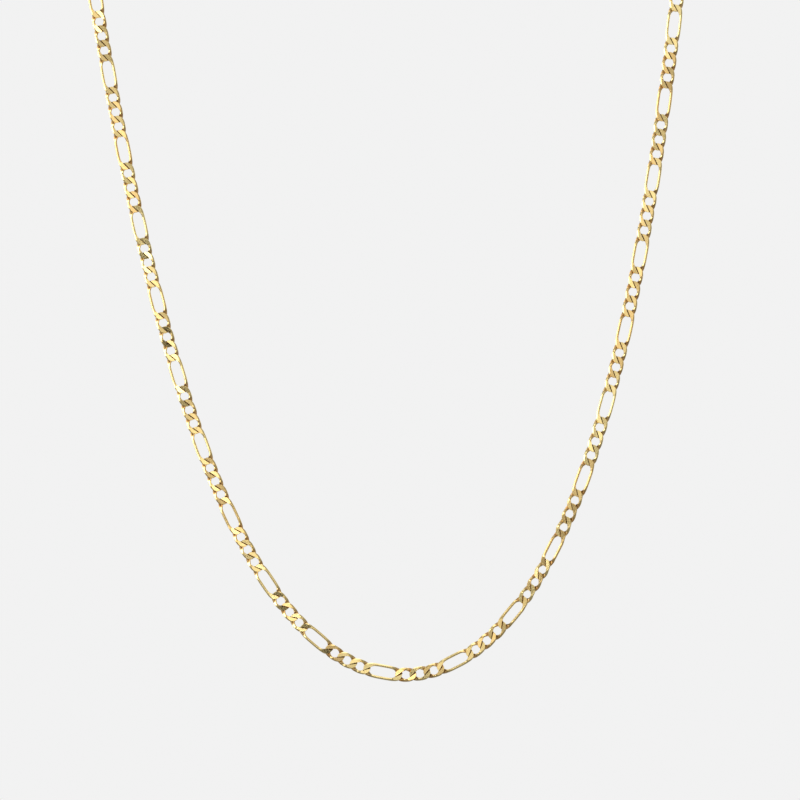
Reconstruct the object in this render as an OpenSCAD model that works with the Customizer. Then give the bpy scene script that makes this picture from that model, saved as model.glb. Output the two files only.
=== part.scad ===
// Figaro chain: a neck chain of three short links and one long link in turn, closed by a clasp.
// Millimetres. The origin is the middle of the clasp at the nape, +Z is up, the front hangs towards -Y.

/* [Wire] */
// Width of the link wire, corner to corner of its six sides
wire_w = 0.66; // [0.6:0.02:0.7]
// Thickness of the chain over its flat cut faces
face_t = 0.8; // [0.7:0.02:1.1]

/* [Links] */
// Distance between the joints of a short link when the chain is pulled straight
short_pitch = 2.86; // [2.8:0.02:3.2]
// Width of a short link over both wires
short_w = 2.76; // [2.6:0.02:3]
// Distance between the joints of a long link when the chain is pulled straight
long_pitch = 6.43; // [5.4:0.01:8]
// Width of a long link over both wires
long_w = 2.92; // [2.7:0.02:3.2]
// Short links between one long link and the next
short_run = 3; // [1:1:5]
// Clear space between two links where they hold each other
link_gap = 0.14; // [0.12:0.01:0.2]
// Rise of a link's wires out of its middle plane, with which neighbours pass each other
twist_h = 0.86; // [0.82:0.01:0.95]

/* [Hang] */
// Size of the hanging curve: the smaller it is, the closer the two arms hang
hang_size = 21.2; // [19:0.1:24]
// Lean of the hanging curve to the left, in degrees
hang_lean = 1.6; // [0:0.01:4]
// Sideways place of the lowest point, to the right of the clasp
hang_side = 5.6; // [-6:0.01:6]
// Depth of the lowest point below the clasp
hang_low = 172.3; // [164:0.1:180]
// Length of each arm from the lowest point to where it turns back around the neck
arm_l = 154; // [145:0.5:160]
// How far the right arm's faces turn inwards where the chain lies twisted, in degrees
arm_turn = 30; // [-30:1:32]
// Distance of that place from the lowest point, along the chain
turn_at = 36; // [24:1:90]

/* [Neck] */
// Distance from the clasp at the back to the hanging front
neck_depth = 45; // [38:0.5:60]
// How far the chain runs sideways from the clasp before it bends forward
nape_reach = 46.6; // [30:0.1:60]
// How far it runs on upwards from the top of an arm before it bends back
shoulder_reach = 34; // [24:1:44]
// How far the chain's faces look up at the clasp, in degrees from straight back
nape_tilt = 45; // [0:1:60]

/* [Rings] */
// Diameter of the wire of the two small closed rings
ring_wire = 0.6; // [0.5:0.05:0.8]
// Clear space between a ring and each wire that it holds
ring_gap = 0.16; // [0.12:0.01:0.25]
// Room left in a ring beside the two wires that pass through it
ring_room = 0.3; // [0.25:0.05:1.2]

/* [Clasp] */
// Length of the clasp over its nose and its eye
clasp_l = 10.6; // [9.6:0.2:14]
// Width of the clasp's bow
clasp_w = 4.6; // [4.2:0.1:6]
// Diameter of the clasp's bowed wire
clasp_wire = 1.3; // [1:0.05:1.4]
// Outer diameter of the eye
eye_d = 2.6; // [2.4:0.1:3]
// Diameter of the eye's wire
eye_wire = 0.7; // [0.6:0.05:0.75]
// Length of the tapered shoulder between the bow and the eye
shoulder_l = 3; // [2:0.1:4]
// Thickness of the shoulder
shoulder_t = 1.9; // [1.7:0.1:2.6]
// Width of the shoulder where it meets the eye
shoulder_end = 1.7; // [1.4:0.1:2.4]

/* [Hidden] */
$fn = 32;
GOLD = [0.86, 0.68, 0.36];

// Corners of a quarter of a link's middle line: share of its half length, share of its half width
SHORT_CORNERS = [[1, 0.44], [0.66, 0.88], [0, 1]];
LONG_CORNERS = [[1, 0.42], [0.84, 0.84], [0, 1]];
WIRE_SIDES = 6;
NECK_STEPS = 80;
ARM_STEPS = 120;

// How far the clasp's shoulder stands out past the bow's wires, and how deep it takes them
SHOULDER_RIM = 0.1;
SHOULDER_SEAT = 0.8;

// Where the links close up because little pulls on them: the middle of that stretch and its
// reach, as shares of the chain's links from the left end
SLACK_AT = 0.45;
SLACK_REACH = 0.14;

// Over what length the right arm turns and turns back
TURN_REACH = 17;
FRONT = [0, -1, 0];
NAPE_FACE = [0, cos(nape_tilt), sin(nape_tilt)];

// Running totals of a list, from zero to its sum
function running(list) = [
    for (i = 0, total = 0; i <= len(list); total = total + (i < len(list) ? list[i] : 0), i = i + 1) total
];
function lengths(path) = running([for (i = [0 : len(path) - 2]) norm(path[i + 1] - path[i])]);
function turned_round(list) = [for (i = [len(list) - 1 : -1 : 0]) list[i]];
function unit(v) = v / norm(v);
function mirrored(corners) = concat(
    [for (i = [0 : 1 : len(corners) - 1]) corners[i]],
    [for (i = [len(corners) - 2 : -1 : 0]) [-corners[i].x, corners[i].y]]
);

// The hanging curve and its upward direction, at a distance along the chain from its lowest point
function leaned(v) = [
    v.x * cos(hang_lean) - v.y * sin(hang_lean),
    0,
    v.x * sin(hang_lean) + v.y * cos(hang_lean)
];
function hang(s) = [hang_side, -neck_depth, -hang_low] + leaned([
    hang_size * ln(s / hang_size + sqrt(pow(s / hang_size, 2) + 1)),
    sqrt(s * s + hang_size * hang_size) - hang_size
]);
function hang_along(s) = leaned(unit([hang_size, s]));
function hang_rise(s) = sign(s) * hang_along(s);

// The side that the faces look at in front, with the turn on the right arm
function front_face(s) = let (turn = arm_turn * exp(-pow((s - turn_at) / TURN_REACH, 2)))
    FRONT * cos(turn) - cross(hang_along(s), FRONT) * sin(turn);

// The way from the clasp round the neck to the top of an arm, for t from 0 to 1
function round_neck(arm_end, t) = 3 * t * pow(1 - t, 2) * [sign(arm_end) * nape_reach, 0, 0]
    + 3 * t * t * (1 - t) * (hang(arm_end) + shoulder_reach * hang_rise(arm_end))
    + pow(t, 3) * hang(arm_end);

// The whole way of the chain, from the clasp down the left arm and up the right arm to the clasp
left_way = [for (i = [NECK_STEPS : -1 : 0]) round_neck(-arm_l, i / NECK_STEPS)];
right_way = [for (i = [NECK_STEPS : -1 : 0]) round_neck(arm_l, i / NECK_STEPS)];
front_way = [for (i = [1 - ARM_STEPS : ARM_STEPS - 1]) hang(arm_l * i / ARM_STEPS)];
way = concat(turned_round(left_way), front_way, right_way);
way_at = lengths(way);
way_l = way_at[len(way) - 1];

// The side that the faces look at round the neck: carried on from an arm along its side of the neck
// and twisted evenly, so that the clasp looks back and up
function heading(path, i) = unit(path[min(i + 1, len(path) - 1)] - path[max(i - 1, 0)]);
function square_to(v, along) = unit(v - along * (v * along));
function next_heading(path, i) = heading(path, min(i + 1, len(path) - 1));
function carried_faces(path) = [
    for (i = 0, out = FRONT; i < len(path); out = square_to(out, next_heading(path, i)), i = i + 1) out
];
function neck_faces(path) = let (
        last = len(path) - 1,
        faces = carried_faces(path),
        ahead = heading(path, last),
        at = lengths(path),
        twist = atan2(cross(faces[last], NAPE_FACE) * ahead, faces[last] * NAPE_FACE)
    ) [for (i = [0 : last]) let (turn = twist * at[i] / at[last])
        faces[i] * cos(turn) + cross(heading(path, i), faces[i]) * sin(turn)];
way_faces = concat(
    turned_round(neck_faces(left_way)),
    [for (i = [1 - ARM_STEPS : ARM_STEPS - 1]) front_face(arm_l * i / ARM_STEPS)],
    neck_faces(right_way)
);

// Place and facing at a distance along the way
function columns(rows) = [for (k = [0 : 2]) [for (i = [0 : len(rows) - 1]) [way_at[i], rows[i][k]]]];
way_columns = columns(way);
face_columns = columns(way_faces);
function on_way(s) = [for (column = way_columns) lookup(s < 0 ? s + way_l : s, column)];
function facing(s) = [for (column = face_columns) lookup(s, column)];

// Distances between the joints of the closing pieces
ring_hole = wire_w + clasp_wire + ring_gap + ring_room;
ring_span = ring_hole - ring_gap;
clasp_span = clasp_l - clasp_wire - eye_wire - ring_gap;

// The links: pulled straight, they are longer than the way by this share of a long link or a little
// more, and they take that surplus up where the chain is slack, so that each joint lies on the way
LEAST_SURPLUS = 0.4;
MOST_LINKS = 400;
function is_long(i) = i % (short_run + 1) == 0;
function pitch(i) = is_long(i) ? long_pitch : short_pitch;
chain_start = clasp_span / 2 + ring_span;
chain_l = way_l - 2 * chain_start;
straight_at = running([for (i = [0 : MOST_LINKS]) pitch(i)]);
link_count = len([for (s = straight_at) if (s < chain_l + LEAST_SURPLUS * long_pitch) s]);
surplus = straight_at[link_count] - chain_l;
slack = [for (i = [0 : link_count - 1]) exp(-pow(((i + 0.5) / link_count - SLACK_AT) / SLACK_REACH, 2))];
all_slack = running(slack)[link_count];
joint_at = [for (s = running([for (i = [0 : link_count - 1]) pitch(i) - surplus * slack[i] / all_slack]))
    chain_start + s];
middle_link = floor(link_count / 2);

// Axes of a piece that spans two distances along the way: along, across its face, and out of its face
function axes(from, to) = let (
        along = unit(on_way(to) - on_way(from)),
        out = square_to(facing((from + to) / 2), along)
    ) [along, cross(out, along), out];
function middle(from, to) = (on_way(from) + on_way(to)) / 2;
module placed_between(from, to) {
    m = middle(from, to);
    x = axes(from, to);
    multmatrix([
        [x[0].x, x[1].x, x[2].x, m.x],
        [x[0].y, x[1].y, x[2].y, m.y],
        [x[0].z, x[1].z, x[2].z, m.z],
        [0, 0, 0, 1]
    ]) children();
}

// A link's middle line in its own axes, as a closed ring of places
function link_line(half_l, half_w, corners) = let (upper = mirrored(corners)) [
    for (p = concat(upper, [for (i = [len(upper) - 1 : -1 : 0]) [upper[i].x, -upper[i].y]]))
        [p.x * half_l, p.y * half_w, -p.x * p.y * twist_h]
];
// The wire around that line, with its faces cut flat
function wire_ring(line, i) = let (
        n = len(line),
        along = unit(line[(i + 1) % n] - line[(i + n - 1) % n]),
        out = unit([0, 0, 1] - along * along.z),
        side = cross(out, along)
    ) [
        for (k = [0 : WIRE_SIDES - 1]) let (
            turn = 360 * k / WIRE_SIDES,
            p = line[i] + wire_w / 2 * (side * cos(turn) + out * sin(turn))
        ) [p.x, p.y, max(-face_t / 2, min(face_t / 2, p.z))]
    ];
function link_points(half_l, half_w, corners) = let (line = link_line(half_l, half_w, corners)) [
    for (i = [0 : len(line) - 1]) each wire_ring(line, i)
];
function link_half(span) = (span + wire_w + link_gap) / 2;
short_points = link_points(link_half(short_pitch), (short_w - wire_w) / 2, SHORT_CORNERS);
long_points = link_points(link_half(long_pitch), (long_w - wire_w) / 2, LONG_CORNERS);
ring_count = len(short_points) / WIRE_SIDES;

function placed(points, from, to) = let (m = middle(from, to), x = axes(from, to))
    [for (p = points) m + p * x];

// Triangles around a closed wire, starting at a given point
function wire_faces(start) = [
    for (i = [0 : ring_count - 1]) for (k = [0 : WIRE_SIDES - 1]) let (
        next_i = (i + 1) % ring_count,
        next_k = (k + 1) % WIRE_SIDES,
        p0 = start + i * WIRE_SIDES + k,
        p1 = start + i * WIRE_SIDES + next_k,
        p2 = start + next_i * WIRE_SIDES + next_k,
        p3 = start + next_i * WIRE_SIDES + k
    ) each [[p0, p2, p1], [p0, p3, p2]]
];

// A stretch of the chain: loose links that pass through each other
module links(first, last) {
    points = [for (i = [first : last]) each placed(
        is_long(i) ? long_points : short_points,
        joint_at[i],
        joint_at[i + 1]
    )];
    faces = [for (i = [0 : last - first]) each wire_faces(i * ring_count * WIRE_SIDES)];
    polyhedron(points, faces, convexity = 10);
}

module chain_left() {
    color(GOLD) links(0, middle_link - 1);
}

module chain_right() {
    color(GOLD) links(middle_link, link_count - 1);
}

// A closed round ring that stands on edge between two distances along the way
module closed_ring(from, to) {
    placed_between(from, to) rotate([90, 0, 0]) rotate_extrude()
        translate([(ring_hole + ring_wire) / 2, 0]) circle(d = ring_wire);
}

module clasp_ring() {
    color(GOLD) closed_ring(clasp_span / 2, chain_start);
}

module end_ring() {
    color(GOLD) closed_ring(way_l - chain_start, way_l - clasp_span / 2);
}

// The clasp in its own axes: its nose towards -X and its eye towards +X
module clasp_body() {
    inner_half = (clasp_span + ring_gap) / 2;
    bow_r = (clasp_w - clasp_wire) / 2;
    bow_x = bow_r - inner_half - clasp_wire / 2;
    eye_r = (eye_d - eye_wire) / 2;
    eye_x = inner_half + eye_wire / 2 - eye_r;
    shoulder_x = eye_x - eye_r - shoulder_l;
    translate([bow_x, 0, 0]) rotate([0, 0, 90]) rotate_extrude(angle = 180)
        translate([bow_r, 0]) circle(d = clasp_wire);
    for (side = [-1, 1]) translate([bow_x, side * bow_r, 0]) rotate([0, 90, 0])
        cylinder(d = clasp_wire, h = shoulder_x + SHOULDER_SEAT / 2 - bow_x);
    translate([shoulder_x, 0, 0]) rotate([0, 90, 0]) shoulder();
    translate([eye_x, 0, 0]) rotate_extrude() translate([eye_r, 0]) circle(d = eye_wire);
}

// A round body, cut flat above and below, that tapers from the bow's width to the eye
module shoulder() {
    intersection() {
        rotate_extrude() polygon([
            [0, 0],
            [clasp_w / 2 + SHOULDER_RIM, 0],
            [clasp_w / 2 + SHOULDER_RIM, SHOULDER_SEAT],
            [shoulder_end / 2, shoulder_l],
            [0, shoulder_l]
        ]);
        cube([shoulder_t, 2 * clasp_w, 3 * shoulder_l], center = true);
    }
}

module clasp() {
    color(GOLD) placed_between(-clasp_span / 2, clasp_span / 2) clasp_body();
}

chain_left();
chain_right();
clasp();
clasp_ring();
end_ring();
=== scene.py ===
import math
import bmesh
import bpy
import numpy as np
from mathutils import Matrix, Vector


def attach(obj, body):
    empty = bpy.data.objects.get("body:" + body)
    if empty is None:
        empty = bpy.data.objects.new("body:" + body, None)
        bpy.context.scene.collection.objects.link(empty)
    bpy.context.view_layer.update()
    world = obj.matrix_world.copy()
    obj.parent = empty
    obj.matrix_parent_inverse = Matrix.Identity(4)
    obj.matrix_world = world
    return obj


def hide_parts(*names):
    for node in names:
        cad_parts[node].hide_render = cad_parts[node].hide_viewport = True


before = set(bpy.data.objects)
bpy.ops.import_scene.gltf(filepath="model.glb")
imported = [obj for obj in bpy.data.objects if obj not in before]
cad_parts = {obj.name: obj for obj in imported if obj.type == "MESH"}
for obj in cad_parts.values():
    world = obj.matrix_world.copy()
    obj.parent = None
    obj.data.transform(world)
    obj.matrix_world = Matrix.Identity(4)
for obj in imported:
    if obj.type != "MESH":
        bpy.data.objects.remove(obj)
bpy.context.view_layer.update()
mm = 0.001
print("frame loaded")

# How the photograph looks at the chain, in millimetres of the hanging front
photoView = {
    "middle": (4.4, -45, -118.9),  # the point in the middle of the picture
    "width": 155.34,  # what the picture is wide there
    "distance": 1200,  # from the camera to the hanging front
    "sensor": 36,
    "seenFrom": 0.1,  # nearest and farthest that it sees, in metres
    "seenTo": 60,
}


def addToScene(thing):
    bpy.context.scene.collection.objects.link(thing)
    return thing


def placeCamera(view):
    cameraData = bpy.data.cameras.new("photoCamera")
    cameraData.sensor_width = view["sensor"]
    cameraData.lens = cameraData.sensor_width * view["distance"] / view["width"]
    cameraData.clip_start, cameraData.clip_end = view["seenFrom"], view["seenTo"]
    camera = addToScene(bpy.data.objects.new("photoCamera", cameraData))
    x, y, z = view["middle"]
    camera.location = Vector((x, y - view["distance"], z)) * mm
    camera.rotation_euler = (math.pi / 2, 0, 0)
    bpy.context.scene.camera = camera


placeCamera(photoView)
print("camera placed")

# The studio, in metres: a pale floor, a pale backdrop, softboxes, and cards that only the gold sees
studio = {
    "partMiddle": (0.0, 0.0, -0.11),
    "floorHeight": -0.45,
    "floorSize": 24,
    "floorColour": (0.8, 0.8, 0.8),
    "floorRoughness": 0.9,
    "backdropDistance": 2.6,
    "backdropHeight": 8,
    "backdropColour": (0.887, 0.887, 0.887),
    "roomBrightness": 0.40,
}
softboxes = {
    # name: (place, looks at, width, height, watts)
    "leftBox": ((-1.10, -0.35, 0.05), studio["partMiddle"], 0.9, 1.1, 12.0),
    "topBox": ((0.0, -0.2, 1.7), studio["partMiddle"], 1.8, 1.8, 16.0),
}
cards = {
    # name: (place, looks at, width, height, brightness)
    "darkSpot": ((-0.10, -2.20, -0.30), studio["partMiddle"], 0.20, 0.16, 0.02),
    "brightSpot": ((-0.26, -2.20, -0.12), studio["partMiddle"], 0.12, 0.12, 6.0),
    "darkBelow": ((0.0, -0.45, -0.42), (0.0, -0.45, 0.0), 1.8, 1.4, 0.28),
    "darkRight": ((1.30, -0.7, -0.05), studio["partMiddle"], 1.4, 1.6, 0.36),
}
# The big lit sheet in front, uneven as a hung cloth is, which the flat faces mirror
sheet = {
    "place": (0.0, -2.30, -0.1),
    "size": (4.6, 3.4),
    "patch": 0.17,  # how wide its lighter and darker places are
    "low": 0.04,  # its brightness there
    "high": 1.95,
    "lowAt": 0.35,  # the noise that gives the two brightnesses
    "highAt": 0.68,
    "cool": (1.0, 1.0, 1.0),
    "warm": (1.0, 0.94, 0.88),
    "coolAt": 0.4,  # the noise that gives the two tints
    "warmAt": 0.65,
    "tintShift": 7.3,  # how far off the tint's noise is taken, so that it goes its own way
}


def lookAt(thing, place, target):
    thing.location = place
    thing.rotation_euler = (Vector(target) - Vector(place)).to_track_quat("-Z", "Y").to_euler()


def flatCard(name, width, height, material):
    w, h = width / 2, height / 2
    face = bpy.data.meshes.new(name)
    face.from_pydata([(-w, -h, 0), (w, -h, 0), (w, h, 0), (-w, h, 0)], [], [(0, 1, 2, 3)])
    face.materials.append(material)
    card = addToScene(bpy.data.objects.new(name, face))
    return card


def spread(tree, source, low, high, toLow, toHigh):
    # brings a value from one range into another
    moved = tree.nodes.new("ShaderNodeMapRange")
    tree.links.new(source, moved.inputs["Value"])
    ends = ("From Min", "From Max", "To Min", "To Max")
    for end, value in zip(ends, (low, high, toLow, toHigh)):
        moved.inputs[end].default_value = value
    return moved.outputs["Result"]


def clouds(tree, place, scale, detail):
    noise = tree.nodes.new("ShaderNodeTexNoise")
    tree.links.new(place, noise.inputs["Vector"])
    noise.inputs["Scale"].default_value = scale
    noise.inputs["Detail"].default_value = detail
    return noise.outputs["Fac"]


def twoColours(tree, share, first, second):
    mix = tree.nodes.new("ShaderNodeMixRGB")
    tree.links.new(share, mix.inputs["Fac"])
    mix.inputs["Color1"].default_value = (*first, 1)
    mix.inputs["Color2"].default_value = (*second, 1)
    return mix.outputs["Color"]


def glowing(name, colour, brightness=1.0):
    material = bpy.data.materials.new(name)
    material.use_nodes = True
    nodes, links = material.node_tree.nodes, material.node_tree.links
    nodes.clear()
    glow = nodes.new("ShaderNodeEmission")
    glow.inputs["Color"].default_value = (*colour, 1)
    glow.inputs["Strength"].default_value = brightness
    out = nodes.new("ShaderNodeOutputMaterial")
    links.new(glow.outputs[0], out.inputs["Surface"])
    return material


def unevenGlow(name, look):
    material = glowing(name, look["cool"])
    tree = material.node_tree
    place = tree.nodes.new("ShaderNodeTexCoord").outputs["Object"]
    glow = next(n for n in tree.nodes if n.type == "EMISSION")

    def patches(offset):
        moved = tree.nodes.new("ShaderNodeVectorMath")
        tree.links.new(place, moved.inputs[0])
        moved.inputs[1].default_value = (offset, offset, 0)
        return clouds(tree, moved.outputs[0], 1 / look["patch"], 1)

    brightness = spread(tree, patches(0), look["lowAt"], look["highAt"], look["low"], look["high"])
    tree.links.new(brightness, glow.inputs["Strength"])
    share = spread(tree, patches(look["tintShift"]), look["coolAt"], look["warmAt"], 0, 1)
    tree.links.new(twoColours(tree, share, look["cool"], look["warm"]), glow.inputs["Color"])
    return material


def paleFloor(colour):
    material = bpy.data.materials.new("paleFloor")
    material.use_nodes = True
    shader = material.node_tree.nodes["Principled BSDF"]
    shader.inputs["Base Color"].default_value = (*colour, 1)
    shader.inputs["Roughness"].default_value = studio["floorRoughness"]
    return material


def buildStudio():
    size, height = studio["floorSize"], studio["backdropHeight"]
    floor = flatCard("floor", size, size, paleFloor(studio["floorColour"]))
    floor.location = (0, 0, studio["floorHeight"])
    backdrop = flatCard("backdrop", size, height, glowing("paleBackdrop", studio["backdropColour"]))
    backdrop.location = (0, studio["backdropDistance"], studio["floorHeight"] + height / 2)
    backdrop.rotation_euler = (math.pi / 2, 0, 0)
    world = bpy.data.worlds.new("room")
    world.use_nodes = True
    room = world.node_tree.nodes["Background"]
    room.inputs["Color"].default_value = (1, 1, 1, 1)
    room.inputs["Strength"].default_value = studio["roomBrightness"]
    bpy.context.scene.world = world
    for name, (place, target, width, height, watts) in softboxes.items():
        light = bpy.data.lights.new(name, "AREA")
        light.shape = "RECTANGLE"
        light.size, light.size_y, light.energy = width, height, watts
        lookAt(addToScene(bpy.data.objects.new(name, light)), place, target)
    # the cards and the sheet, which only the gold's reflections meet
    hung = [(flatCard(name, width, height, glowing(name, (1, 1, 1), brightness)), place, target)
            for name, (place, target, width, height, brightness) in cards.items()]
    hung.append((flatCard("frontSheet", *sheet["size"], unevenGlow("frontSheet", sheet)),
                 sheet["place"], studio["partMiddle"]))
    for card, place, target in hung:
        lookAt(card, place, target)
        card.visible_camera = False
        card.visible_diffuse = False
        card.visible_shadow = False
    scene = bpy.context.scene
    scene.view_settings.view_transform = "Standard"
    scene.view_settings.look = "None"


buildStudio()
print("studio built")

# The polished gold
gold = {
    "colour": (0.90, 0.69, 0.30),
    "grooveShadeColour": (0.46, 0.27, 0.10),  # painted shade, in the grooves and where the next link lies over a link
    "grooveShadeShare": 0.85,  # how far the gold goes towards that painted shade there
    "cutRoughness": 0.09,
    "wireRoughness": 0.24,
    "deepRoughness": 0.38,
    "roughnessSpread": (-0.03, 0.05),  # what the scratches take away and add
    "toneSpread": 0.10,  # from link to link
    "hueSpread": 0.010,
    "cloudSpread": 0.04,  # of the tone within a link
    "cloudScale": 900,
    "cloudDetail": 3,
    "toneEnds": 0.2,  # the tone at which the next two lines are reached
    "saturation": (1.14, 0.86),
    "value": (0.92, 1.06),
    "noiseEnds": (0.3, 0.7),  # between which nearly all of a noise lies
    "scratchScale": 5200,
    "scratchDetail": 4,
    "scratchDepth": 0.02,  # in millimetres
    "cutGrain": 0.012,
    "wireGrain": 0.02,
}


def nodeMaker(tree):
    def node(kind, **values):
        made = tree.nodes.new(kind)
        for key, value in values.items():
            setattr(made, key, value)
        return made
    return node


def goldMaterial():
    material = bpy.data.materials.new("polishedGold")
    material.use_nodes = True
    tree, links = material.node_tree, material.node_tree.links
    node = nodeMaker(tree)
    shader = tree.nodes["Principled BSDF"]
    shader.inputs["Metallic"].default_value = 1

    place = node("ShaderNodeTexCoord").outputs["Object"]
    cut = node("ShaderNodeAttribute", attribute_name="cutFace").outputs["Fac"]
    # the groove mask: painted shade in the gold's colour, and a duller polish
    shadeAndDullness = node("ShaderNodeAttribute", attribute_name="groove").outputs["Fac"]
    tone = node("ShaderNodeAttribute", attribute_name="linkTone").outputs["Fac"]

    def added(first, second):
        total = node("ShaderNodeMath", operation="ADD")
        links.new(first, total.inputs[0])
        links.new(second, total.inputs[1])
        return total.outputs[0]

    cloudy = clouds(tree, place, gold["cloudScale"], gold["cloudDetail"])
    cloudEnds = (-gold["cloudSpread"], gold["cloudSpread"])
    linkEnds = (-gold["toneSpread"], gold["toneSpread"])
    blend = added(spread(tree, cloudy, *gold["noiseEnds"], *cloudEnds),
                  spread(tree, tone, 0, 1, *linkEnds))
    # painted shade: the gold's colour is pulled towards a dark brown in the grooves and under the
    # next link
    grooveShadeShare = spread(tree, shadeAndDullness, 0, 1, 0, gold["grooveShadeShare"])
    shade = twoColours(tree, grooveShadeShare, gold["colour"], gold["grooveShadeColour"])
    tinted = node("ShaderNodeHueSaturation")
    links.new(shade, tinted.inputs["Color"])
    ends = (-gold["toneEnds"], gold["toneEnds"])
    links.new(spread(tree, blend, *ends, *gold["saturation"]), tinted.inputs["Saturation"])
    links.new(spread(tree, blend, *ends, *gold["value"]), tinted.inputs["Value"])
    # a hue of 0.5 leaves a colour as it is
    hueEnds = (0.5 - gold["hueSpread"], 0.5 + gold["hueSpread"])
    links.new(spread(tree, tone, 0, 1, *hueEnds), tinted.inputs["Hue"])
    links.new(tinted.outputs["Color"], shader.inputs["Base Color"])

    grain = clouds(tree, place, gold["scratchScale"], gold["scratchDetail"])
    polish = added(spread(tree, cut, 0, 1, gold["wireRoughness"], gold["cutRoughness"]),
                   spread(tree, grain, *gold["noiseEnds"], *gold["roughnessSpread"]))
    worn = node("ShaderNodeMath", operation="MAXIMUM")
    links.new(polish, worn.inputs[0])
    links.new(spread(tree, shadeAndDullness, 0, 1, 0, gold["deepRoughness"]), worn.inputs[1])
    links.new(worn.outputs[0], shader.inputs["Roughness"])

    bump = node("ShaderNodeBump")
    links.new(spread(tree, cut, 0, 1, gold["wireGrain"], gold["cutGrain"]), bump.inputs["Strength"])
    bump.inputs["Distance"].default_value = gold["scratchDepth"] * mm
    links.new(grain, bump.inputs["Height"])
    links.new(bump.outputs["Normal"], shader.inputs["Normal"])
    return material


polishedGold = goldMaterial()
print("gold made")

# The links, in millimetres. A link's own axes: x along the chain, y across it, z out of its face
linkWire = {
    "thickness": 0.8,  # over the flat cut faces
    "sideWidth": 0.56,  # the wire along a side
    "sideHeight": 0.62,
    "bowWidth": 0.72,  # the wire round an end
    "tipHeight": 0.96,  # its height before the faces are cut, at the end
    "crossHeight": 0.72,  # and where it crosses the next link, at its inner side
    "crossRound": 0.48,  # and at its outer side, which is rounder
    "lift": 0.18,  # how far the wire leaves the middle plane there
    "liftFade": 0.9,  # the stretch of a side over which it comes back
    "padHalf": 0.76,  # half the length of the flat place where two links cross
    "padEdge": 0.13,  # over which the wire widens into it
    "padRound": 0.15,  # how much further in its rounded outer side begins
    "fillet": 0.13,  # the wire's extra width where that widening begins
    "filletFade": 0.5,  # the stretch over which both are gone again
    "grooveAngle": 34,  # of the groove between two links, to the chain
    "groove": 0.12,  # its width
    "grooveRim": 0.08,  # what it opens at the cut face
    "twistDepth": 0.6,  # share of the thickness in which the gap between two links turns round
    "boxedTip": 0.60,  # how square a section's outer side is at the end, 1 is round
    "boxedPad": 1.0,  # and at the flat place's edge
    "boxedInner": 0.55,  # its inner side, along the groove
    "padRings": 7,  # sections from the end to the flat place's edge
    "sideRings": 4,  # sections from there to the middle of a side
    "arc": 6,  # points on the rounded outer side of a section, and on the inner side
    "flat": 1,  # points inside a cut face of a section
    # the next three are shares of the way from the end to the flat place's edge
    "roundShare": (0.3, 0.9),  # between which the flat place's outer side is set back
    "liftShare": (0.28, 0.85),  # between which the wire leaves the middle plane
    "hiddenShare": (0.3, 0.6),  # between which it goes under the next link
    "hiddenFade": 0.3,  # the stretch beyond the flat place over which it is seen again
    "overFade": 0.10,  # how sharply its upper side is told from its lower side
    "steepest": 0.985,  # keeps a section's arcs off their ends
    "reachMost": 1.3,  # how much an inner side may be widened to reach the groove
    "faceSkin": 0.004,  # how near the cut plane a point belongs to the face
    "grooveSkin": 0.02,  # and how near it no longer belongs to the groove
    "sharpAngle": 38,
    "holdFade": 1.2,  # the share of the next link's outline at which it no longer needs room
    "rimShare": 0.6,  # the share of the thickness at which the groove begins to open
    "pushSteps": 12,
    "pushMark": 0.03,  # a point moved this far lies in the groove and gets painted shade
}
linkForms = {
    # joint to joint, width, how square the outline is
    "shortLink": {"span": 2.86, "width": 2.76, "square": 2.35},
    "longLink": {"span": 6.43, "width": 2.92, "square": 3.4},
}


def smooth(low, high, x):
    t = np.clip((x - low) / (high - low), 0, 1)
    return t * t * (3 - 2 * t)


def signedPower(x, power):
    return np.sign(x) * np.abs(x) ** power


def keepOffNeighbour(points, span):
    # pushes what would lie in the next link's room onto the twisted surface between the two
    half = linkWire["thickness"] / 2
    turn, depth = math.radians(90 - linkWire["grooveAngle"]), half * linkWire["twistDepth"]
    short = linkForms["shortLink"]
    endLength, endWidth = short["span"] / 2 + linkWire["bowWidth"], short["width"] / 2
    pushed = np.zeros(len(points))
    for side in (1, -1):
        flip = np.array([side, side, 1])
        joint = np.array([span / 2, 0, 0])
        start = points * flip - joint
        q = start.copy()
        outline = (np.abs((q[:, 0] - short["span"] / 2) / endLength) ** short["square"]
                   + np.abs(q[:, 1] / endWidth) ** short["square"])
        held = 1 - smooth(1.0, linkWire["holdFade"], outline)
        for step in range(linkWire["pushSteps"]):
            level = np.clip(q[:, 2] / depth, -1, 1) * math.pi / 2
            angle = math.pi / 2 - turn * np.sin(level)
            steep = -turn * np.cos(level) * math.pi / 2 / depth
            opened = smooth(half * linkWire["rimShare"], half, np.abs(q[:, 2]))
            clear = linkWire["groove"] / 2 + linkWire["grooveRim"] / 2 * opened
            across = q[:, 0] * np.sin(angle) - q[:, 1] * np.cos(angle)
            along = q[:, 0] * np.cos(angle) + q[:, 1] * np.sin(angle)
            gradient = np.stack([np.sin(angle), -np.cos(angle), steep * along], axis=1)
            lack = np.maximum(0, clear - across)
            q += gradient * (lack / (gradient ** 2).sum(axis=1))[:, None]
            q[:, 2] = np.clip(q[:, 2], -half, half)
        moved = (q - start) * held[:, None]
        marked = smooth(0.0, linkWire["pushMark"], np.linalg.norm(moved, axis=1))
        pushed = np.maximum(pushed, marked)
        points = (start + moved + joint) * flip
    return points, pushed


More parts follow.
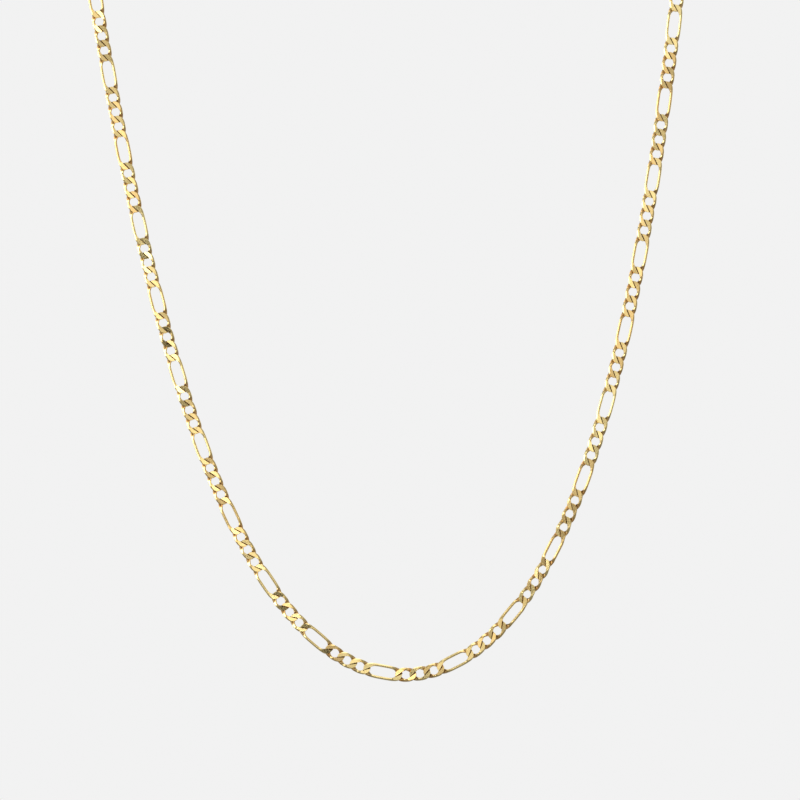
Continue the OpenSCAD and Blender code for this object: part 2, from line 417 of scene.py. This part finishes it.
def ringStations(form):
    # angles around the middle line for a quarter of a link, and how far each is into the flat place
    length = form["span"] / 2 + linkWire["bowWidth"] / 2

    def angleAt(x):
        return math.acos((x / length) ** (form["square"] / 2))

    padEnd = angleAt(form["span"] / 2 - linkWire["padHalf"])
    sideStart = angleAt(form["span"] / 2 - linkWire["padHalf"] - linkWire["padEdge"])
    stations = [(padEnd * j / linkWire["padRings"], j / linkWire["padRings"])
                for j in range(linkWire["padRings"] + 1)]
    stations += [(sideStart + (math.pi / 2 - sideStart) * j / linkWire["sideRings"], None)
                 for j in range(linkWire["sideRings"] + 1)]
    return stations


def quarterPoint(form, angle):
    length = form["span"] / 2 + linkWire["bowWidth"] / 2
    width = (form["width"] - linkWire["sideWidth"]) / 2
    power = 2 / form["square"]
    return np.array([length * math.cos(angle) ** power, width * math.sin(angle) ** power])


def outwardAt(form, angle):
    step = 0.01
    ahead = quarterPoint(form, min(angle + step, math.pi / 2))
    behind = quarterPoint(form, max(angle - step, 0))
    along = ahead - behind
    if angle < step:
        return np.array([1.0, 0.0])
    if angle > math.pi / 2 - step:
        return np.array([0.0, 1.0])
    return np.array([along[1], -along[0]]) / np.linalg.norm(along)


def quarterSection(form, angle, share):
    # one section in the quarter x > 0, y > 0, where the wire goes to the back
    half = linkWire["thickness"] / 2
    joint = np.array([form["span"] / 2, 0])
    middle, outward = quarterPoint(form, angle), outwardAt(form, angle)
    # how far this section lies beyond the edge of the flat place
    beyond = joint[0] - middle[0] - linkWire["padHalf"]
    if share is None:
        fade = 1 - smooth(0, linkWire["liftFade"], beyond)
        near = 1 - smooth(0, linkWire["filletFade"], beyond - linkWire["padEdge"])
        extra = linkWire["padRound"] * near
        middle, outer = middle - outward * extra, linkWire["sideWidth"] / 2 + extra
        height = (linkWire["sideHeight"] * (1 - fade) + linkWire["crossHeight"] * fade) / 2
        roundHeight = (linkWire["sideHeight"] * (1 - fade) + linkWire["crossRound"] * fade) / 2
        boxOuter = boxInner = 1.0
        lift = -linkWire["lift"] * fade
        inward = -outward * (linkWire["sideWidth"] / 2 - extra + linkWire["fillet"] * near)
        hidden = 1 - smooth(0, linkWire["hiddenFade"], beyond)
    else:
        outer = (linkWire["bowWidth"] * (1 - share) + linkWire["sideWidth"] * share) / 2
        boxOuter = linkWire["boxedTip"] * (1 - share) + linkWire["boxedPad"] * share
        boxInner = linkWire["boxedInner"]
        extra = linkWire["padRound"] * smooth(*linkWire["roundShare"], share)
        middle, outer = middle - outward * extra, outer + extra
        lift = -linkWire["lift"] * smooth(*linkWire["liftShare"], share)
        # how much taller the wire was than the cut faces leave it
        tip, side = linkWire["tipHeight"] / 2 / half, 1 / 2 / (half - linkWire["lift"])
        height = (half + lift) * (tip * (1 - share) + linkWire["crossHeight"] * side * share)
        roundHeight = (half + lift) * (tip * (1 - share) + linkWire["crossRound"] * side * share)
        slope = math.tan(math.radians(linkWire["grooveAngle"]))
        inward = joint + linkWire["padHalf"] * share * np.array([-1, slope]) - middle
        hidden = smooth(*linkWire["hiddenShare"], share)
    if angle > math.pi / 2 - 1e-6:
        lift = 0  # the middle of a side lies in the middle plane

    def edges(box, tall):
        return (-math.asin(min(linkWire["steepest"], ((half + lift) / tall) ** (1 / box))),
                math.asin(min(linkWire["steepest"], ((half - lift) / tall) ** (1 / box))))

    def sidePoints(box, tall, direction, reach):
        low, high = edges(box, tall)
        rows = []
        for turn in np.linspace(low, high, linkWire["arc"]):
            place = middle + direction * reach * math.cos(turn) ** box
            z = max(-half, min(half, lift + tall * signedPower(math.sin(turn), box)))
            rows.append(np.array([place[0], place[1], z]))
        return rows

    reach = 1.0
    if share is not None:
        low, high = edges(boxInner, height)
        reach = min(linkWire["reachMost"], 1 / max(math.cos(low), math.cos(high)) ** boxInner)
    outerSide = sidePoints(boxOuter, roundHeight, outward, outer)
    innerSide = sidePoints(boxInner, height, inward, reach)
    steps = [(i + 1) / (linkWire["flat"] + 1) for i in range(linkWire["flat"])]
    topFlat = [outerSide[-1] * (1 - t) + innerSide[-1] * t for t in steps]
    lowFlat = [innerSide[0] * (1 - t) + outerSide[0] * t for t in steps]
    ring = outerSide + topFlat + innerSide[::-1] + lowFlat
    # with each point: whether it is on a cut face, and how much the next link lies over it, which
    # is painted as shade
    over = linkWire["overFade"]
    return [(*p, 1.0 if abs(p[2]) > half - linkWire["faceSkin"] else 0.0,
             hidden * smooth(-over, over, p[2] - lift)) for p in ring]


def linkRings(form):
    # the four quarters are turned copies of one: half turns about the link's three axes
    quarter = [quarterSection(form, angle, share) for angle, share in ringStations(form)]
    arc, flat = linkWire["arc"], linkWire["flat"]

    def turned(ring, sx, sy, sz):
        ring = [(x * sx, y * sy, z * sz, *marks) for x, y, z, *marks in ring]
        if sz < 0:
            # upside down: the outer arc, the faces and the inner arc are walked the other way
            outer, topFlat = ring[:arc], ring[arc:arc + flat]
            inner, lowFlat = ring[arc + flat:2 * arc + flat], ring[2 * arc + flat:]
            ring = outer[::-1] + lowFlat[::-1] + inner[::-1] + topFlat[::-1]
        return ring

    first = quarter
    second = [turned(ring, -1, 1, -1) for ring in quarter[::-1]][1:]
    third = [turned(ring, -1, -1, 1) for ring in quarter][1:]
    fourth = [turned(ring, 1, -1, -1) for ring in quarter[::-1]][1:-1]
    return first + second + third + fourth


def tubeFaces(rows, size):
    # quads from each closed row of points to the next, and from the last to the first
    faces = []
    for i in range(rows):
        here, there = i * size, (i + 1) % rows * size
        for k in range(size):
            k2 = (k + 1) % size
            faces.append((here + k, there + k, there + k2, here + k2))
    return faces


def linkMesh(name, form):
    rings = linkRings(form)
    flatPoints = np.array([point for ring in rings for point in ring])
    half = linkWire["thickness"] / 2
    points, pushed = keepOffNeighbour(flatPoints[:, :3], form["span"])
    inside = np.abs(points[:, 2]) < half - linkWire["grooveSkin"]
    # painted shade mask: points pushed off the next link into the groove, and points that it lies
    # over
    shadeAndDullness = np.maximum(pushed * inside, flatPoints[:, 4])
    mesh = bpy.data.meshes.new(name)
    mesh.from_pydata([tuple(p * mm) for p in points], [], tubeFaces(len(rings), len(rings[0])))
    mesh.update()
    for label, values in (("cutFace", flatPoints[:, 3]), ("groove", shadeAndDullness)):
        attribute = mesh.attributes.new(label, "FLOAT", "POINT")
        attribute.data.foreach_set("value", values.astype(np.float32))
    for polygon in mesh.polygons:
        polygon.use_smooth = True
    mesh.set_sharp_from_angle(angle=math.radians(linkWire["sharpAngle"]))
    # crisp edges round the cut faces
    cut = [all(flatPoints[v, 3] > 0.5 for v in polygon.vertices) for polygon in mesh.polygons]
    beside = {}
    for polygon in mesh.polygons:
        for key in polygon.edge_keys:
            beside.setdefault(key, []).append(cut[polygon.index])
    sharp = mesh.attributes["sharp_edge"]
    for edge in mesh.edges:
        if len(set(beside[edge.key])) == 2:
            sharp.data[edge.index].value = True
    return mesh


# How the links are laid along the chain
linkLay = {
    "tilt": 3.6,  # most that a link leans out of the chain's face, in degrees
    "swing": 3.2,  # most that it turns about the chain
    "seed": 7,
    "nextShare": 1.3,  # of two links' usual distance, within which they are neighbours
    "ringReach": 2.4,  # how far round a ring's middle the link that it holds gets no painted groove shade
}


def islandsOf(node):
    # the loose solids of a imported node: middle, and axes along, across and out of each
    places = np.array([v.co for v in node.data.vertices])
    keys = {}
    merged = [keys.setdefault(tuple(np.round(p, 7)), len(keys)) for p in places]
    parent = list(range(len(keys)))

    def root(i):
        while parent[i] != i:
            parent[i] = parent[parent[i]]
            i = parent[i]
        return i

    for polygon in node.data.polygons:
        corners = [merged[v] for v in polygon.vertices]
        for other in corners[1:]:
            parent[root(corners[0])] = root(other)
    points = np.array(list(keys))
    groups = {}
    for i in range(len(points)):
        groups.setdefault(root(i), []).append(i)
    solids = []
    for members in groups.values():
        cloud = points[members]
        centre = cloud.mean(axis=0)
        axes = np.linalg.eigh(np.cov((cloud - centre).T))[1][:, ::-1].copy()
        axes[:, 2] = np.cross(axes[:, 0], axes[:, 1])
        reach = np.abs((cloud - centre) @ axes[:, 0]).max()
        solids.append({"centre": centre, "axes": axes, "reach": reach})
    return solids


def spanScales(solids):
    # how much closer each link's joints lie than in a chain pulled straight
    centres = np.array([s["centre"] for s in solids])
    forms = [linkForms["longLink" if s["long"] else "shortLink"] for s in solids]
    spans = np.array([form["span"] * mm for form in forms])
    scales = []
    for i, solid in enumerate(solids):
        offsets = centres - centres[i]
        distances = np.linalg.norm(offsets, axis=1)
        shares = []
        for side in (1, -1):
            ahead = (offsets @ solid["axes"][:, 0]) * side > 0
            ahead[i] = False
            if not ahead.any():
                continue
            j = min(np.flatnonzero(ahead), key=lambda n: distances[n])
            share = distances[j] / ((spans[i] + spans[j]) / 2)
            if share < linkLay["nextShare"]:
                shares.append(share)
        scales.append(sum(shares) / len(shares) if shares else 1.0)
    return scales


def chainTree():
    tree = bpy.data.node_groups.new("layLinks", "GeometryNodeTree")
    face = tree.interface
    face.new_socket("Geometry", in_out="INPUT", socket_type="NodeSocketGeometry")
    for label, kind in (("Short Link", "Object"), ("Long Link", "Object"), ("Gold", "Material"),
                        ("Tilt", "Float"), ("Swing", "Float"), ("Seed", "Int")):
        face.new_socket(label, in_out="INPUT", socket_type="NodeSocket" + kind)
    face.new_socket("Geometry", in_out="OUTPUT", socket_type="NodeSocketGeometry")
    node, links = nodeMaker(tree), tree.links

    entry, out = node("NodeGroupInput"), node("NodeGroupOutput")

    def given(name, kind):
        attribute = node("GeometryNodeInputNamedAttribute", data_type=kind)
        attribute.inputs["Name"].default_value = name
        return attribute.outputs["Attribute"]

    turn, size = given("turn", "FLOAT_VECTOR"), given("size", "FLOAT_VECTOR")
    isLong = given("isLong", "BOOLEAN")
    isShort = node("FunctionNodeBooleanMath", operation="NOT")
    links.new(isLong, isShort.inputs[0])

    limits = node("ShaderNodeCombineXYZ")
    links.new(entry.outputs["Swing"], limits.inputs["X"])
    links.new(entry.outputs["Tilt"], limits.inputs["Y"])
    lowest = node("ShaderNodeVectorMath", operation="SCALE")
    links.new(limits.outputs[0], lowest.inputs[0])
    lowest.inputs["Scale"].default_value = -1
    wobble = node("FunctionNodeRandomValue", data_type="FLOAT_VECTOR")
    links.new(lowest.outputs[0], wobble.inputs["Min"])
    links.new(limits.outputs[0], wobble.inputs["Max"])
    links.new(entry.outputs["Seed"], wobble.inputs["Seed"])
    base = node("FunctionNodeEulerToRotation")
    links.new(turn, base.inputs[0])
    lean = node("FunctionNodeEulerToRotation")
    links.new(wobble.outputs["Value"], lean.inputs[0])
    turned = node("FunctionNodeRotateRotation", rotation_space="LOCAL")
    links.new(base.outputs[0], turned.inputs[0])
    links.new(lean.outputs[0], turned.inputs[1])

    joined = node("GeometryNodeJoinGeometry")
    for label, chosen in (("Short Link", isShort.outputs[0]), ("Long Link", isLong)):
        link = node("GeometryNodeObjectInfo", transform_space="ORIGINAL")
        links.new(entry.outputs[label], link.inputs["Object"])
        laid = node("GeometryNodeInstanceOnPoints")
        links.new(entry.outputs["Geometry"], laid.inputs["Points"])
        links.new(chosen, laid.inputs["Selection"])
        links.new(link.outputs["Geometry"], laid.inputs["Instance"])
        links.new(turned.outputs[0], laid.inputs["Rotation"])
        links.new(size, laid.inputs["Scale"])
        links.new(laid.outputs[0], joined.inputs[0])
    tone = node("FunctionNodeRandomValue", data_type="FLOAT")
    links.new(entry.outputs["Seed"], tone.inputs["Seed"])
    toned = node("GeometryNodeStoreNamedAttribute", data_type="FLOAT", domain="INSTANCE")
    toned.inputs["Name"].default_value = "linkTone"
    links.new(joined.outputs[0], toned.inputs["Geometry"])
    links.new(tone.outputs[1], toned.inputs["Value"])
    real = node("GeometryNodeRealizeInstances")
    links.new(toned.outputs[0], real.inputs[0])
    coated = node("GeometryNodeSetMaterial")
    links.new(real.outputs[0], coated.inputs["Geometry"])
    links.new(entry.outputs["Gold"], coated.inputs["Material"])
    links.new(coated.outputs[0], out.inputs[0])
    return tree


def layChain(name, solids, tree, shapes):
    seeds = bpy.data.meshes.new(name)
    seeds.from_pydata([tuple(s["centre"]) for s in solids], [], [])
    turns = [Matrix(s["axes"].tolist()).to_euler() for s in solids]
    for label, kind, field, values in (
        ("turn", "FLOAT_VECTOR", "vector", [v for t in turns for v in t]),
        ("size", "FLOAT_VECTOR", "vector", [v for s in solids for v in (s["scale"], 1, 1)]),
        ("isLong", "BOOLEAN", "value", [s["long"] for s in solids]),
    ):
        seeds.attributes.new(label, kind, "POINT").data.foreach_set(field, values)
    piece = addToScene(bpy.data.objects.new(name, seeds))
    modifier = piece.modifiers.new("links", "NODES")
    modifier.node_group = tree
    given = {
        "Short Link": shapes["shortLink"], "Long Link": shapes["longLink"], "Gold": polishedGold,
        "Tilt": math.radians(linkLay["tilt"]), "Swing": math.radians(linkLay["swing"]),
        "Seed": linkLay["seed"],
    }
    for item in tree.interface.items_tree:
        if item.in_out == "INPUT" and item.name in given:
            modifier[item.identifier] = given[item.name]
    evaluated = piece.evaluated_get(bpy.context.evaluated_depsgraph_get())
    finished = bpy.data.meshes.new_from_object(evaluated)
    piece.modifiers.remove(modifier)
    piece.data = finished
    finished.name = name
    return piece


def clearEndShade(mesh):
    # no neighbour lies over a last link where a ring holds it, so its painted groove shade is taken
    # away there
    places, shadeAndDullness = np.empty(len(mesh.vertices) * 3), np.empty(len(mesh.vertices))
    mesh.vertices.foreach_get("co", places)
    groove = mesh.attributes["groove"].data
    groove.foreach_get("value", shadeAndDullness)
    for ring in ("clasp_ring", "end_ring"):
        middle = np.mean([v.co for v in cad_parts[ring].data.vertices], axis=0)
        near = np.linalg.norm(places.reshape(-1, 3) - middle, axis=1) < linkLay["ringReach"] * mm
        shadeAndDullness[near] = 0
    groove.foreach_set("value", shadeAndDullness)


def buildChain():
    shapes = {}
    for name, form in linkForms.items():
        shapes[name] = bpy.data.objects.new(name, linkMesh(name, form))
        print(name, "has", len(shapes[name].data.polygons), "faces")
    tree = chainTree()
    halves = {side: islandsOf(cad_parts[side]) for side in ("chain_left", "chain_right")}
    # halfway between half a short link's length and half a long one's
    spans = linkForms["shortLink"]["span"] + linkForms["longLink"]["span"]
    middleReach = (spans / 4 + linkWire["bowWidth"] / 2) * mm
    everyLink = [solid for solids in halves.values() for solid in solids]
    for solid in everyLink:
        solid["long"] = bool(solid["reach"] > middleReach)
    for solid, scale in zip(everyLink, spanScales(everyLink)):
        solid["scale"] = scale
    for side, solids in halves.items():
        piece = layChain(side + "_links", solids, tree, shapes)
        clearEndShade(piece.data)
        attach(piece, "root")
        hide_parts(side)
        print(piece.name, "has", len(solids), "links,", len(piece.data.polygons), "faces")
    for shape in shapes.values():
        bpy.data.objects.remove(shape)


buildChain()
print("chain laid")

# The closing pieces, which sit where their solids are
closing = {
    "claspGrain": 0.07,  # how finely the cast clasp is resolved, in millimetres
    "claspSoftening": 8,  # how often its edges are smoothed
    "claspFactor": 0.5,  # and how much each time
    "weld": 1e-7,  # corners of the solid nearer than this are one, in metres
    "ringSides": 64,  # sections round a ring
    "ringArc": 20,  # points round its wire
    "tone": 0.5,  # in the middle of the links' tones
}


def finishPiece(mesh, name, node):
    for polygon in mesh.polygons:
        polygon.use_smooth = True
    tone = mesh.attributes.new("linkTone", "FLOAT", "POINT")
    tone.data.foreach_set("value", np.full(len(mesh.vertices), closing["tone"], np.float32))
    mesh.materials.clear()
    mesh.materials.append(polishedGold)
    piece = addToScene(bpy.data.objects.new(name, mesh))
    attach(piece, "root")
    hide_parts(node)
    print(name, "has", len(mesh.polygons), "faces")


def dropSpecks(mesh):
    # keeps the largest body only: the fusing leaves a speck inside it
    form = bmesh.new()
    form.from_mesh(mesh)
    bodies, unseen = [], set(form.verts)
    while unseen:
        body, reached = set(), [unseen.pop()]
        while reached:
            vert = reached.pop()
            body.add(vert)
            for edge in vert.link_edges:
                other = edge.other_vert(vert)
                if other in unseen:
                    unseen.remove(other)
                    reached.append(other)
        bodies.append(body)
    largest = max(bodies, key=len)
    specks = [vert for vert in form.verts if vert not in largest]
    bmesh.ops.delete(form, geom=specks, context="VERTS")
    form.to_mesh(mesh)
    form.free()


def castClasp():
    # the solid's own form in millimetres, fused and softened as a cast and tumbled piece is
    form = bmesh.new()
    form.from_mesh(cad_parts["clasp"].data)
    bmesh.ops.remove_doubles(form, verts=form.verts, dist=closing["weld"])
    bmesh.ops.scale(form, verts=form.verts, vec=(1 / mm, 1 / mm, 1 / mm))
    rough = bpy.data.meshes.new("claspForm")
    form.to_mesh(rough)
    form.free()
    holder = addToScene(bpy.data.objects.new("claspForm", rough))
    fused = holder.modifiers.new("fused", "REMESH")
    fused.mode, fused.voxel_size = "VOXEL", closing["claspGrain"]
    softened = holder.modifiers.new("softened", "SMOOTH")
    softened.factor, softened.iterations = closing["claspFactor"], closing["claspSoftening"]
    evaluated = holder.evaluated_get(bpy.context.evaluated_depsgraph_get())
    mesh = bpy.data.meshes.new_from_object(evaluated)
    dropSpecks(mesh)
    mesh.transform(Matrix.Scale(mm, 4))
    mesh.name = "clasp_body"
    bpy.data.objects.remove(holder)
    bpy.data.meshes.remove(rough)
    finishPiece(mesh, "clasp_body", "clasp")


def roundRing(node):
    # a ring of round wire through the middle of its solid
    cloud = np.unique(np.round([v.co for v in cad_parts[node].data.vertices], 8), axis=0)
    centre = cloud.mean(axis=0)
    axes = np.linalg.eigh(np.cov((cloud - centre).T))[1]
    local = (cloud - centre) @ axes
    centre = centre + axes @ ((local.max(axis=0) + local.min(axis=0)) / 2)
    local = (cloud - centre) @ axes
    wire = np.abs(local[:, 0]).max()
    radius = np.hypot(local[:, 1], local[:, 2]).max() - wire
    around = np.linspace(0, 2 * math.pi, closing["ringSides"], endpoint=False)
    arc = np.linspace(0, 2 * math.pi, closing["ringArc"], endpoint=False)
    points = []
    for a in around:
        for b in arc:
            out = radius + wire * math.cos(b)
            offset = np.array([wire * math.sin(b), out * math.cos(a), out * math.sin(a)])
            points.append(centre + axes @ offset)
    mesh = bpy.data.meshes.new(node + "_wire")
    mesh.from_pydata([tuple(p) for p in points], [], tubeFaces(len(around), len(arc)))
    form = bmesh.new()
    form.from_mesh(mesh)
    bmesh.ops.recalc_face_normals(form, faces=form.faces)
    form.to_mesh(mesh)
    form.free()
    finishPiece(mesh, node + "_wire", node)


castClasp()
roundRing("clasp_ring")
roundRing("end_ring")
print("closing pieces made")
